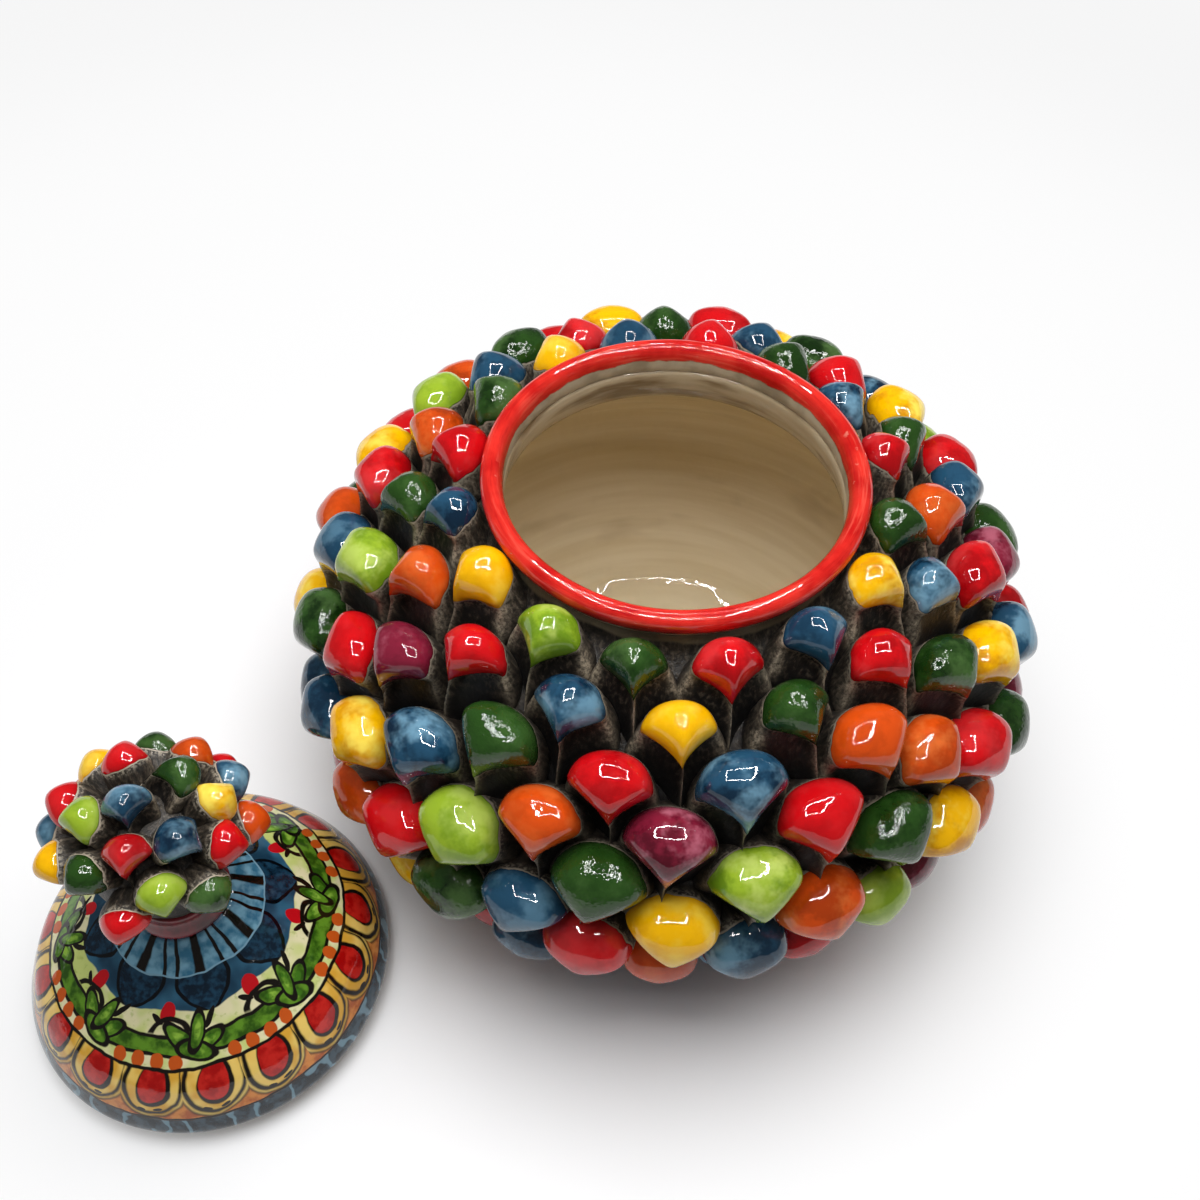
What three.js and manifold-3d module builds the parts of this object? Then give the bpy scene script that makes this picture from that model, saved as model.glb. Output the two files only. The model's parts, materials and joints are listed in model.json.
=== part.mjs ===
// A round pottery jar covered in pinched clay scales, with its domed lid standing beside it.
// Millimetres, +Z up. The origin is the centre of the jar's base, and the front is -Y.

import * as THREE from 'three';
import { mergeVertices } from 'three/addons/utils/BufferGeometryUtils.js';
import Module from 'manifold-3d';

const wasm = await Module();
wasm.setup();

// Driving dimensions of the jar
const JAR_HEIGHT = 150;
const RIM_RADIUS = 60;
const BORE_RADIUS = 52.5;
const RIM_DEPTH = 10.7;
const BASE_RADIUS = 64;
const BELLY_RADIUS = 104.5;
const WALL = 6.5;
const FLOOR = 8;

// Driving dimensions of the lid, which stands on its flange in front and to the left of the jar
const LID_PLACE = new THREE.Vector3(-150.5, -101, 0);
const LID_RADIUS = 59.8;
const LID_WALL = 5;
const FLANGE_RADIUS = 50.5;
const FLANGE_WALL = 4;
const FLANGE_TOP = 10;
const SEAT_HEIGHT = 5;
const DOME_HEIGHT = 54;
const COLLAR_TOP = 64;
const KNOB_CENTRE = 86.4;
const KNOB_CORE_RADIUS = 23;

// Clearances and facets
const GAP = 0.3;
const RING_SEGMENTS = 32;
const KNOB_SEGMENTS = 16;
const OUTLINE_STEPS = 10;

// The scales of the jar: 16 in a row, every other row turned by half a step
const SCALES_PER_ROW = 16;
const STEP_ANGLE = (2 * Math.PI) / SCALES_PER_ROW;
const FIRST_ANGLE = THREE.MathUtils.degToRad(10.2);
const SLIP_THICKNESS = 2.4;
const SLIP_HALF_WIDTH = 3.6;

// Each row: the radius and height of its caps' centres, the tilt of its scales above level in
// degrees, and half the width and half the height of a cap
const ROWS = [
  { radius: 70.2, height: 142, tilt: 78, halfWidth: 9.2, halfHeight: 8.3 },
  { radius: 84.5, height: 132, tilt: 74, halfWidth: 10.6, halfHeight: 9.3 },
  { radius: 98, height: 121.5, tilt: 68, halfWidth: 11.8, halfHeight: 10.1 },
  { radius: 108, height: 108, tilt: 58, halfWidth: 12.5, halfHeight: 10.6 },
  { radius: 115.5, height: 94, tilt: 46, halfWidth: 13.2, halfHeight: 11.2 },
  { radius: 119.5, height: 77, tilt: 32, halfWidth: 13.4, halfHeight: 11.4 },
  { radius: 118.5, height: 61, tilt: 18, halfWidth: 13.4, halfHeight: 11.4 },
  { radius: 113, height: 44.5, tilt: 4, halfWidth: 12.8, halfHeight: 10.8 },
  { radius: 103.5, height: 29, tilt: -8, halfWidth: 11.8, halfHeight: 9.8 },
];

// The scales of the knob: a cap's direction from the knob's centre, clockwise from the front and
// above level, how far its keel turns away from straight down, all in degrees, and its glaze
const KNOB_CAP_RADIUS = 29;
const KNOB_HALF_WIDTH = 6.5;
const KNOB_HALF_HEIGHT = 5.8;
const KNOB_SCALE_LENGTH = 14;
const KNOB_SCALES = [
  { around: 20, above: 85, keel: 40, glaze: 'blue' },
  { around: -4, above: 57, keel: 0, glaze: 'red' },
  { around: -55, above: 52, keel: 20, glaze: 'blue' },
  { around: -106, above: 41, keel: 60, glaze: 'yellow' },
  { around: -136, above: 60, keel: 150, glaze: 'green' },
  { around: 156, above: 56, keel: -20, glaze: 'red' },
  { around: 69, above: 59, keel: -10, glaze: 'lime' },
  { around: 31, above: 38, keel: -10, glaze: 'green' },
  { around: 62, above: 22, keel: 0, glaze: 'yellow' },
  { around: 100, above: 35, keel: 0, glaze: 'red' },
  { around: 135, above: 30, keel: 0, glaze: 'yellow' },
  { around: 172, above: 22, keel: 0, glaze: 'green' },
  { around: -157, above: 32, keel: 0, glaze: 'orange' },
  { around: -130, above: 20, keel: 0, glaze: 'blue' },
  { around: -78, above: 27, keel: 25, glaze: 'red' },
  { around: -24, above: 30, keel: 0, glaze: 'lime' },
  { around: 2, above: 14, keel: 0, glaze: 'red' },
  { around: -50, above: 13, keel: 5, glaze: 'green' },
  { around: -103, above: 8, keel: 0, glaze: 'orange' },
  { around: -150, above: 3, keel: 0, glaze: 'red' },
  { around: -178, above: -3, keel: 0, glaze: 'yellow' },
  { around: 152, above: -4, keel: 0, glaze: 'lime' },
  { around: 125, above: 2, keel: 0, glaze: 'orange' },
  { around: 92, above: 8, keel: 0, glaze: 'blue' },
];

const GLAZES = {
  red: 0xb5121b,
  orange: 0xc2501a,
  yellow: 0xe3ab12,
  lime: 0x7f9a2b,
  green: 0x23421f,
  blue: 0x2b5573,
};

const finish = (color, roughness) => new THREE.MeshStandardMaterial({ color, roughness, metalness: 0 });

const DARK_CLAY = { color: 0x2b2420, roughness: 0.6 };

// Merges a geometry's shared points and drops the triangles that have no area
function weld(geometry) {
  const plain = geometry.clone();
  plain.deleteAttribute('normal');
  plain.deleteAttribute('uv');
  const merged = mergeVertices(plain, 1e-4);
  const corners = merged.index.array;
  const kept = [];
  for (let i = 0; i < corners.length; i += 3) {
    const [a, b, c] = corners.slice(i, i + 3);
    if (a !== b && b !== c && c !== a) {
      kept.push(a, b, c);
    }
  }
  merged.setIndex(kept);
  return merged;
}

function toSolid(geometry) {
  const welded = weld(geometry);
  const vertProperties = new Float32Array(welded.attributes.position.array);
  const triVerts = new Uint32Array(welded.index.array);
  return new wasm.Manifold(new wasm.Mesh({ numProp: 3, vertProperties, triVerts }));
}

function toGeometry(solid) {
  const mesh = solid.getMesh();
  const geometry = new THREE.BufferGeometry();
  geometry.setAttribute('position', new THREE.BufferAttribute(mesh.vertProperties, 3));
  geometry.setIndex(new THREE.BufferAttribute(mesh.triVerts, 1));
  return geometry;
}

function makePiece(name, geometry, color, roughness) {
  const piece = new THREE.Mesh(geometry, finish(color, roughness));
  piece.name = name;
  return piece;
}

// Turns an outline of [radius, height] points round the Z axis
function turn(outline, segments = RING_SEGMENTS) {
  const points = outline.map(([radius, height]) => new THREE.Vector2(radius, height));
  const geometry = new THREE.LatheGeometry(points, segments);
  geometry.rotateX(Math.PI / 2);
  return weld(geometry);
}

// A smooth curve through [radius, height] points, as evenly spaced points
function smoothOutline(through, steps) {
  const curve = new THREE.SplineCurve(through.map(([radius, height]) => new THREE.Vector2(radius, height)));
  return curve.getSpacedPoints(steps).map((point) => [point.x, point.y]);
}

// The same outline moved sideways by a distance, to the right of its direction of travel
function offsetOutline(outline, distance) {
  return outline.map(([radius, height], i) => {
    const before = outline[Math.max(i - 1, 0)];
    const after = outline[Math.min(i + 1, outline.length - 1)];
    const along = new THREE.Vector2(after[0] - before[0], after[1] - before[1]).normalize();
    return [radius + along.y * distance, height - along.x * distance];
  });
}

// The jar's outside wall, from the base up to the neck
const NECK_TOP = JAR_HEIGHT - RIM_DEPTH - GAP;
const NECK_RADIUS = RIM_RADIUS - 3;
const WALL_OUTLINE = smoothOutline(
  [
    [BASE_RADIUS, 0],
    [72, 20],
    [94, 46],
    [BELLY_RADIUS, 74],
    [92, 104],
    [70, 123.5],
    [59.5, 132],
    [NECK_RADIUS, NECK_TOP],
  ],
  OUTLINE_STEPS,
);

// The jar's inside wall, which runs down past the edge of the floor
const FLOOR_EDGE_RADIUS = BASE_RADIUS - WALL;
const INNER_OUTLINE = [
  [FLOOR_EDGE_RADIUS, 0],
  [FLOOR_EDGE_RADIUS, FLOOR],
  ...offsetOutline(WALL_OUTLINE, -WALL).filter((point) => point[1] > FLOOR + 2 && point[1] < NECK_TOP - 6),
  [BORE_RADIUS - 0.5, NECK_TOP - 6],
  [BORE_RADIUS - 0.5, NECK_TOP],
];

// The radius of a rising outline at a height
function radiusOn(outline, height) {
  const upper = Math.max(outline.findIndex((point) => point[1] >= height), 1);
  const [lowRadius, lowHeight] = outline[upper - 1];
  const [highRadius, highHeight] = outline[upper];
  return THREE.MathUtils.mapLinear(height, lowHeight, highHeight, lowRadius, highRadius);
}

// The stretch of a rising outline between two heights
function cutOutline(outline, low, high) {
  const between = outline.filter((point) => point[1] > low + 0.5 && point[1] < high - 0.5);
  return [[radiusOn(outline, low), low], ...between, [radiusOn(outline, high), high]];
}

function wallRadiusAt(height) {
  return height >= NECK_TOP ? NECK_RADIUS : radiusOn(WALL_OUTLINE, height);
}

// The thrown pot, hollow and open at the top. The real one is thrown in one piece. Here it is a
// floor and four rings of wall, so that the shapes it collides with stay hollow too.
const WALL_RINGS = [
  { name: 'jar_foot_wall', low: 0, high: 40 - GAP },
  { name: 'jar_lower_belly', low: 40, high: 74 - GAP },
  { name: 'jar_upper_belly', low: 74, high: 106 - GAP },
  { name: 'jar_shoulder', low: 106, high: NECK_TOP },
];
const CREAM = { color: 0xb9ad95, roughness: 0.3 };

function makeJarFloor() {
  const edge = FLOOR_EDGE_RADIUS - GAP;
  const outline = [
    [0, 0],
    [edge, 0],
    [edge, FLOOR],
    [0, FLOOR],
  ];
  return makePiece('jar_floor', turn(outline), CREAM.color, CREAM.roughness);
}

function makeWallRing({ name, low, high }) {
  const outside = cutOutline(WALL_OUTLINE, low, high);
  const inside = cutOutline(INNER_OUTLINE, low, high);
  return makePiece(name, turn([...outside, ...inside.reverse(), outside[0]]), CREAM.color, CREAM.roughness);
}

// The rolled rim, with a narrow flat on top that the lid sits on
function makeRimCollar() {
  const bottom = JAR_HEIGHT - RIM_DEPTH;
  const outline = [
    [BORE_RADIUS, bottom],
    [RIM_RADIUS - 2.5, bottom],
    [RIM_RADIUS - 1.2, JAR_HEIGHT - 7.5],
    [RIM_RADIUS, JAR_HEIGHT - 5],
    [RIM_RADIUS - 0.2, JAR_HEIGHT - 2.2],
    [RIM_RADIUS - 2, JAR_HEIGHT],
    [RIM_RADIUS - 5.5, JAR_HEIGHT],
    [BORE_RADIUS + 0.3, JAR_HEIGHT - 2.4],
    [BORE_RADIUS, JAR_HEIGHT - 4.5],
    [BORE_RADIUS, bottom],
  ];
  return makePiece('rim_collar', turn(outline), GLAZES.red, 0.25);
}

// Half a scale's cross-section, as [across, up] shares of its half width and half height: a
// rounded back, wide sides, a thumb-pressed hollow and a keel underneath
const SCALE_SECTION = [
  [0, 1],
  [0.95, 0.42],
  [0.4, -0.36],
  [0, -1],
  [-0.4, -0.36],
  [-0.95, 0.42],
];

// The rings of a scale from its root to its cap: distance in front of the cap's centre, as a
// share of the length behind it or of the cap's half height in front, and size of the section
const SCALE_RINGS = [
  { behind: 1, size: 0.56 },
  { behind: 0.12, size: 0.97 },
  { ahead: 0.5, size: 0.8 },
];
const SCALE_TIP_AHEAD = 0.95;

// A scale along +Z with its cap's centre at the origin, its keel towards -Y. Its root leans by
// `rootSlope` millimetres for each millimetre up, so that it lies flat against what carries it.
function scaleGeometry({ halfWidth, halfHeight, length, rootSlope = 0 }) {
  const positions = [];
  const triangles = [];
  const sides = SCALE_SECTION.length;
  for (const ring of SCALE_RINGS) {
    for (const [across, up] of SCALE_SECTION) {
      const height = up * ring.size * halfHeight;
      const lean = ring.behind === 1 ? height * rootSlope : 0;
      const z = ring.behind ? -ring.behind * length - lean : ring.ahead * halfHeight;
      positions.push(-across * ring.size * halfWidth, height, z);
    }
  }
  for (let ring = 0; ring < SCALE_RINGS.length - 1; ring += 1) {
    for (let side = 0; side < sides; side += 1) {
      const a = ring * sides + side;
      const b = ring * sides + ((side + 1) % sides);
      triangles.push(a, b, b + sides, a, b + sides, a + sides);
    }
  }
  const root = positions.length / 3;
  positions.push(0, 0, -length);
  const tip = root + 1;
  positions.push(0, halfHeight * 0.1, SCALE_TIP_AHEAD * halfHeight);
  const lastRing = (SCALE_RINGS.length - 1) * sides;
  for (let side = 0; side < sides; side += 1) {
    const next = (side + 1) % sides;
    triangles.push(root, next, side);
    triangles.push(tip, lastRing + side, lastRing + next);
  }
  const geometry = new THREE.BufferGeometry();
  geometry.setAttribute('position', new THREE.Float32BufferAttribute(positions, 3));
  geometry.setIndex(triangles);
  return geometry;
}

// Puts a scale at a place, pointing along `out`, with its back towards `up`
function placeScale(geometry, centre, out, up) {
  const across = new THREE.Vector3().crossVectors(up, out);
  const place = new THREE.Matrix4().makeBasis(across, up, out).setPosition(centre);
  return toSolid(geometry.clone().applyMatrix4(place));
}

// Where the middle line of a row's scales meets the wall: its height, the wall's normal there, and
// the distance back to it from the caps' centres
function findRoot(row) {
  const tilt = THREE.MathUtils.degToRad(row.tilt);
  const out = new THREE.Vector2(Math.cos(tilt), Math.sin(tilt));
  const along = (distance) => new THREE.Vector2(row.radius, row.height).addScaledVector(out, -distance);
  let distance = 0;
  while (along(distance).x > wallRadiusAt(along(distance).y)) {
    distance += 0.1;
  }
  const height = along(distance).y;
  const rise = new THREE.Vector2(wallRadiusAt(height + 1) - wallRadiusAt(height - 1), 2).normalize();
  return { height, distance, out, normal: new THREE.Vector2(rise.y, -rise.x) };
}

// The band of slip has one facet for each scale, so its corners stand further from the round wall
const SLIP_CORNER = 1 / Math.cos(Math.PI / SCALES_PER_ROW);

// A band of slip round the wall at the roots of a row of scales, just clear of the wall
function slipBand(middle, turnBy) {
  const onWall = cutOutline(WALL_OUTLINE, middle - SLIP_HALF_WIDTH, middle + SLIP_HALF_WIDTH);
  const inside = offsetOutline(onWall, GAP);
  const outside = offsetOutline(onWall, GAP + SLIP_THICKNESS);
  const outline = [...outside, ...inside.reverse(), outside[0]];
  const corners = outline.map(([radius, height]) => [radius * SLIP_CORNER, height]);
  return turn(corners, SCALES_PER_ROW).rotateZ(turnBy);
}

// The scales of one row, joined by their band of slip
function makeScaleRow(row, index) {
  const root = findRoot(row);
  const tilt = THREE.MathUtils.degToRad(row.tilt);
  const upInPlane = new THREE.Vector2(-root.out.y, root.out.x);
  const middleOfSlip = wallRadiusAt(root.height) * (SLIP_CORNER - 1) + GAP + SLIP_THICKNESS / 2;
  const facing = root.normal.dot(root.out);
  const geometry = scaleGeometry({
    halfWidth: row.halfWidth,
    halfHeight: row.halfHeight,
    length: root.distance - middleOfSlip / facing,
    rootSlope: root.normal.dot(upInPlane) / facing,
  });
  const firstAngle = FIRST_ANGLE + (index % 2 === 0 ? 0 : STEP_ANGLE / 2);
  let solid = toSolid(slipBand(root.height, -firstAngle));
  for (let i = 0; i < SCALES_PER_ROW; i += 1) {
    const angle = firstAngle + i * STEP_ANGLE;
    const level = new THREE.Vector3(-Math.sin(angle), -Math.cos(angle), 0);
    const centre = level.clone().multiplyScalar(row.radius).setZ(row.height);
    const out = level.clone().multiplyScalar(Math.cos(tilt)).setZ(Math.sin(tilt));
    const up = level.clone().multiplyScalar(-Math.sin(tilt)).setZ(Math.cos(tilt));
    solid = solid.add(placeScale(geometry, centre, out, up));
  }
  return makePiece(`scale_row_${index + 1}`, toGeometry(solid), DARK_CLAY.color, DARK_CLAY.roughness);
}

// The thrown dome of the lid, open underneath, with a flat seat round its edge
const SHOULDER_RADIUS = 47.5;
const SHOULDER_HEIGHT = 30.6;
const COLLAR_RADIUS = 15.5;

function makeLidDome() {
  const edge = smoothOutline(
    [
      [LID_RADIUS - 2.3, SEAT_HEIGHT],
      [LID_RADIUS, SEAT_HEIGHT + 4.5],
      [LID_RADIUS - 3.2, 17.5],
      [53, 25],
      [SHOULDER_RADIUS + 0.6, SHOULDER_HEIGHT - 0.6],
    ],
    5,
  );
  const crown = smoothOutline(
    [
      [SHOULDER_RADIUS, SHOULDER_HEIGHT],
      [34, 40.5],
      [24, 46.5],
      [COLLAR_RADIUS + 0.5, DOME_HEIGHT],
    ],
    4,
  );
  const inner = offsetOutline([...edge, ...crown], -LID_WALL).filter(
    (point) => point[0] < FLANGE_RADIUS && point[1] > FLANGE_TOP + 2,
  );
  const outline = [
    [FLANGE_RADIUS + GAP, SEAT_HEIGHT],
    ...edge,
    ...crown,
    [0, DOME_HEIGHT],
    [0, DOME_HEIGHT - LID_WALL],
    ...inner.reverse(),
    [FLANGE_RADIUS + GAP, FLANGE_TOP + 2],
    [FLANGE_RADIUS + GAP, SEAT_HEIGHT],
  ];
  return makePiece('lid_dome', turn(outline), 0x9c8a3c, 0.3);
}

// The ring that keeps the lid in the mouth of the jar
function makeLidFlange() {
  const inside = FLANGE_RADIUS - FLANGE_WALL;
  const outline = [
    [inside, 0],
    [FLANGE_RADIUS, 0],
    [FLANGE_RADIUS, FLANGE_TOP],
    [inside, FLANGE_TOP],
    [inside, 0],
  ];
  return makePiece('lid_flange', turn(outline), 0xb9ad95, 0.5);
}

function makeKnobCollar() {
  const outline = [
    [0, DOME_HEIGHT + GAP],
    [COLLAR_RADIUS, DOME_HEIGHT + GAP],
    [COLLAR_RADIUS + 0.4, DOME_HEIGHT + 3],
    [COLLAR_RADIUS - 1.5, COLLAR_TOP - 3],
    [COLLAR_RADIUS - 1.5, COLLAR_TOP],
    [0, COLLAR_TOP],
  ];
  return makePiece('knob_collar', turn(outline, KNOB_SEGMENTS), 0x5a1414, 0.25);
}

const CORE_OUTLINE = [
  [13.5, COLLAR_TOP + GAP],
  [20, 73],
  [KNOB_CORE_RADIUS, 84],
  [21, 96],
  [13.5, 105.2],
];
const CORE_TOP = 108.5;

// The knob's ball of clay, grown outwards by a distance
function knobCoreGeometry(growth) {
  const grown = offsetOutline(CORE_OUTLINE, growth);
  return turn([[0, CORE_OUTLINE[0][1] - growth], ...grown, [0, CORE_TOP + growth]], KNOB_SEGMENTS);
}

function makeKnobCore() {
  return makePiece('knob_core', knobCoreGeometry(0), DARK_CLAY.color, DARK_CLAY.roughness);
}

// A pinched scale of the knob, cut to stand just clear of the core
function makeKnobScale(scale, index, clearCore) {
  const around = THREE.MathUtils.degToRad(scale.around);
  const above = THREE.MathUtils.degToRad(scale.above);
  const keel = THREE.MathUtils.degToRad(scale.keel);
  const level = new THREE.Vector3(-Math.sin(around), -Math.cos(around), 0);
  const out = level.clone().multiplyScalar(Math.cos(above)).setZ(Math.sin(above));
  const up = level.clone().multiplyScalar(-Math.sin(above)).setZ(Math.cos(above));
  up.applyAxisAngle(out, keel);
  const centre = out.clone().multiplyScalar(KNOB_CAP_RADIUS);
  centre.z += KNOB_CENTRE;
  const geometry = scaleGeometry({
    halfWidth: KNOB_HALF_WIDTH,
    halfHeight: KNOB_HALF_HEIGHT,
    length: KNOB_SCALE_LENGTH,
  });
  const solid = placeScale(geometry, centre, out, up).subtract(clearCore);
  const name = `knob_scale_${String(index + 1).padStart(2, '0')}`;
  return makePiece(name, toGeometry(solid), GLAZES[scale.glaze], 0.2);
}

function makeJar() {
  const jar = new THREE.Group();
  jar.add(makeJarFloor(), ...WALL_RINGS.map(makeWallRing), makeRimCollar());
  ROWS.forEach((row, index) => jar.add(makeScaleRow(row, index)));
  return jar;
}

function makeLid() {
  const lid = new THREE.Group();
  lid.add(makeLidDome(), makeLidFlange(), makeKnobCollar(), makeKnobCore());
  const clearCore = toSolid(knobCoreGeometry(GAP));
  KNOB_SCALES.forEach((scale, index) => lid.add(makeKnobScale(scale, index, clearCore)));
  lid.position.copy(LID_PLACE);
  return lid;
}

const sweetJar = new THREE.Group();
sweetJar.add(makeJar(), makeLid());

export default sweetJar;
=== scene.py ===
# A round pottery sweet jar covered in pinched clay scales, with its domed lid standing beside it.
# Metres, +Z up. Shapes are written in millimetres, and MM turns them into metres.

import json
import math
import random
from collections import namedtuple

import bmesh
import bpy
from mathutils import Matrix, Vector, noise


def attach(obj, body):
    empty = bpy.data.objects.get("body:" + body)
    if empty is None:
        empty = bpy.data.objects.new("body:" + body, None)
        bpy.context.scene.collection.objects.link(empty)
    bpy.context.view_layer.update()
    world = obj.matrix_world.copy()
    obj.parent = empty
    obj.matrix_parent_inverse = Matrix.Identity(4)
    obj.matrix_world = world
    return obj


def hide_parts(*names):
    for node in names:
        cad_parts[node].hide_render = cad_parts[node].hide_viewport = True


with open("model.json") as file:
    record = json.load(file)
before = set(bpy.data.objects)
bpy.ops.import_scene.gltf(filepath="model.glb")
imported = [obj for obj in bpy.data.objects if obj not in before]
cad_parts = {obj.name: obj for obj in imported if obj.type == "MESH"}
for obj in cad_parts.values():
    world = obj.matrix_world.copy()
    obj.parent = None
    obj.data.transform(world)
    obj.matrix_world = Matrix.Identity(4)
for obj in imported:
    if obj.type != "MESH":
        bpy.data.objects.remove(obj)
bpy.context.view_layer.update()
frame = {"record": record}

MM = 0.001
TURN = 2 * math.pi

# Without a seed the noise that makes surfaces uneven would change from one run to the next
NOISE_SEED = 4
noise.seed_set(NOISE_SEED)

# Camera, at the photograph's place: its lens fits a frame as wide as it is high
CAMERA_PLACE = Vector((-22.0, -277.2, 436.1)) * MM
CAMERA_LOOKS_DOWN = math.radians(51.95)
CAMERA_ROLL = math.radians(1.854)
CAMERA_LENS = 39
SENSOR_WIDTH = 36

# Jar. The wall's line goes up from its foot through points of (radius, height).
JAR_HEIGHT = 150
RIM_RADIUS = 60
BORE_RADIUS = 52.5
RIM_DEPTH = 10.7
NECK_TOP = JAR_HEIGHT - RIM_DEPTH - 0.3
NECK_RADIUS = 57
WALL = 6.5
WALL_THROUGH = [
    (64, 0), (72, 20), (94, 46), (104.5, 74), (92, 104), (70, 123.5), (59.5, 132), (NECK_RADIUS, NECK_TOP),
]

# Lid, which stands on its flange in front and to the left of the jar
LID_PLACE = Vector((-150.5, -101, 0))
LID_RADIUS = 59.8
LID_SHOULDER = Vector((47.7, 30.5))
FLANGE_RADIUS = 50.5
COLLAR_RADIUS = 15.5
DOME_HEIGHT = 54
COLLAR_TOP = 64

# How often the lid's painting repeats round it: bars, petals and leaves, then the other ornaments
PETALS = 8
DOTS = 48
LOBES = 17
EDGE_CURLS = 34

# Where the lid's painted bands meet and where its ribbon runs, in millimetres outwards from its
# middle and then down its side
BARS_END = 24.2
PETALS_END = 32.4
RIBBON_MIDDLE = 41.6
LOBES_START = 47.4
LOBES_END = 64.6

# The jar's scales: 16 in a row, every other row turned by half a step. The rows are drawn a little
# further in than the solids, so that swollen caps stay within them, and are rooted in the wall.
SCALES_PER_ROW = 16
STEP_ANGLE = TURN / SCALES_PER_ROW
FIRST_ANGLE = math.radians(10.2)
ROWS_DRAWN_IN = 0.9
ROOT_DEPTH = 3.0

# The rows next to the neck have stems that widen fully towards their roots, and the others this share
NECK_ROWS = 2
BELLY_FLARE = 0.45

# How far a scale of the jar strays from its place: round the jar, in tilt and in twist, in degrees,
# and up or down. Then the least and the most that its size and a knob scale's size may be, and the
# seeds of the random draws.
STRAY_AROUND = 1.1
STRAY_TILT = 3
STRAY_TWIST = 9
STRAY_LIFT = 0.9
SIZE_RANGE = (0.94, 1.05)
KNOB_SIZE_RANGE = (0.96, 1.04)
ROW_SEED = 40
KNOB_SEED = 7

# A row's caps: how far out and how high their centres are, the tilt of the scales above level in
# degrees, half the width and half the height of a cap, and the glazes clockwise from the front
Row = namedtuple("Row", "radius height tilt half_width half_height glazes")
ROWS = [
    Row(70.2, 140.6, 78, 9.9, 8.7, "GLYBRGYBRGBRGYBR"),
    Row(84.5, 132, 74, 10.6, 9.3, "BROGOBRGBRGOBRGY"),
    Row(98, 121.5, 68, 11.8, 10.1, "RGMLRLGYRGYBRGOB"),
    Row(108, 108, 58, 12.5, 10.6, "OBRBYORGYBRMYORM"),
    Row(115.5, 94, 46, 13.2, 11.2, "GLYGORBYGRLGBRGL"),
    Row(119.5, 77, 32, 13.4, 11.4, "BRBYGOLRYBGRGYOY"),
    Row(118.5, 61, 18, 13.4, 11.4, "RGOBYRLGBYRGMOLB"),
    Row(113, 44.5, 4, 12.8, 10.8, "BYRGOBYRGLBYGMRO"),
    Row(103.5, 29, -8, 11.8, 9.8, "BRGYBORGYBLRGYRB"),
]

# The knob's scales: how high the knob's centre is, how far from it their caps' centres are, half the
# width and half the height of a cap, how far behind its centre its stem starts, how that start leans,
# and how much pale dust, partly painted light, the clay has
KNOB_CENTRE = 86.4
KNOB_CAP_RADIUS = 29
KNOB_HALF_WIDTH = 6.9
KNOB_HALF_HEIGHT = 6.2
KNOB_STEM = 11.5
KNOB_ROOT_SLOPE = -0.15
KNOB_DUSTING_AND_LIGHT = 0.4

# A cap's direction from the knob's centre, clockwise from the front and above level, and how far its
# keel turns away from straight down, all in degrees
KNOB_SCALES = [
    (20, 85, 40), (-4, 57, 0), (-55, 52, 20), (-106, 41, 60), (-136, 60, 150), (156, 56, -20),
    (69, 59, -10), (31, 38, -10), (62, 22, 0), (100, 35, 0), (135, 30, 0), (172, 22, 0),
    (-157, 32, 0), (-130, 20, 0), (-78, 27, 25), (-24, 30, 0), (2, 14, 0), (-50, 13, 5),
    (-103, 8, 0), (-150, 3, 0), (-178, -3, 0), (152, -4, 0), (125, 2, 0), (92, 8, 0),
]


# Shader nodes

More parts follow.
